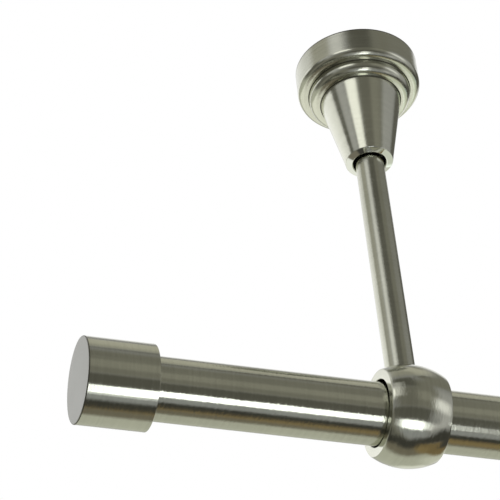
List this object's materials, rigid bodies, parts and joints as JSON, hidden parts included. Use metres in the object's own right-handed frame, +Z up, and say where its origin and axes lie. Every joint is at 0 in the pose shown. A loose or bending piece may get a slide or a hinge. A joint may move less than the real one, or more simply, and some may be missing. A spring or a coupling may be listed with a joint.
{
  "type": "curtain rod with brackets",
  "caption": "Round satin-metal curtain rod hung under a ceiling by drop brackets with stepped-cone covers, barrel rings and plain cylindrical end caps.",
  "frame": {"origin": "in the ceiling plane, midway between the two brackets", "axes": "+X along the rod, +Z up to the ceiling, +Y to the window side, where the grub screws are"},
  "size_m": [1.2062, 0.0524, 0.2038],
  "materials": {
    "satin_steel": "satin brushed nickel look, fine turned and drawn lines, slightly warm",
    "zinc_plated": "bright zinc plating",
    "screw_steel": "black oxide"
  },
  "bodies": {
    "brackets": {"left_ceiling_plate": "zinc_plated", "left_stem_stud": "zinc_plated", "left_stem": "satin_steel", "left_ring": "satin_steel", "left_ring_bolt": "screw_steel", "right_ceiling_plate": "zinc_plated", "right_stem_stud": "zinc_plated", "right_stem": "satin_steel", "right_ring": "satin_steel", "right_ring_bolt": "screw_steel"},
    "rod": {"rod": "satin_steel"},
    "left_cover": {"left_ceiling_cover": "satin_steel"},
    "left_cover_screw": {"left_cover_screw": "screw_steel"},
    "left_ring_screw": {"left_ring_screw": "screw_steel"},
    "left_cap": {"left_end_cap": "satin_steel"},
    "left_cap_screw": {"left_cap_screw": "screw_steel"},
    "right_cover": {"right_ceiling_cover": "satin_steel"},
    "right_cover_screw": {"right_cover_screw": "screw_steel"},
    "right_ring_screw": {"right_ring_screw": "screw_steel"},
    "right_cap": {"right_end_cap": "satin_steel"},
    "right_cap_screw": {"right_cap_screw": "screw_steel"}
  },
  "joints": [
    {"name": "rod_slide", "type": "slide", "parent": "brackets", "child": "rod", "axis": [1, 0, 0], "range_m": [-0.09, 0.09]},
    {"name": "left_cover_slide", "type": "slide", "parent": "brackets", "child": "left_cover", "axis": [0, 0, -1], "range_m": [0, 0.109]},
    {"name": "left_cover_screw_out", "type": "slide", "parent": "left_cover", "child": "left_cover_screw", "axis": [0, 1, 0], "range_m": [0, 0.003]},
    {"name": "left_ring_screw_out", "type": "slide", "parent": "brackets", "child": "left_ring_screw", "axis": [0, 1, 0], "range_m": [0, 0.005]},
    {"name": "left_cap_off", "type": "slide", "parent": "rod", "child": "left_cap", "axis": [-1, 0, 0], "range_m": [0, 0.035]},
    {"name": "left_cap_screw_out", "type": "slide", "parent": "left_cap", "child": "left_cap_screw", "axis": [0, 1, 0], "range_m": [0, 0.004]},
    {"name": "right_cover_slide", "type": "slide", "parent": "brackets", "child": "right_cover", "axis": [0, 0, -1], "range_m": [0, 0.109]},
    {"name": "right_cover_screw_out", "type": "slide", "parent": "right_cover", "child": "right_cover_screw", "axis": [0, 1, 0], "range_m": [0, 0.003]},
    {"name": "right_ring_screw_out", "type": "slide", "parent": "brackets", "child": "right_ring_screw", "axis": [0, 1, 0], "range_m": [0, 0.005]},
    {"name": "right_cap_off", "type": "slide", "parent": "rod", "child": "right_cap", "axis": [1, 0, 0], "range_m": [0, 0.035]},
    {"name": "right_cap_screw_out", "type": "slide", "parent": "right_cap", "child": "right_cap_screw", "axis": [0, 1, 0], "range_m": [0, 0.004]}
  ]
}
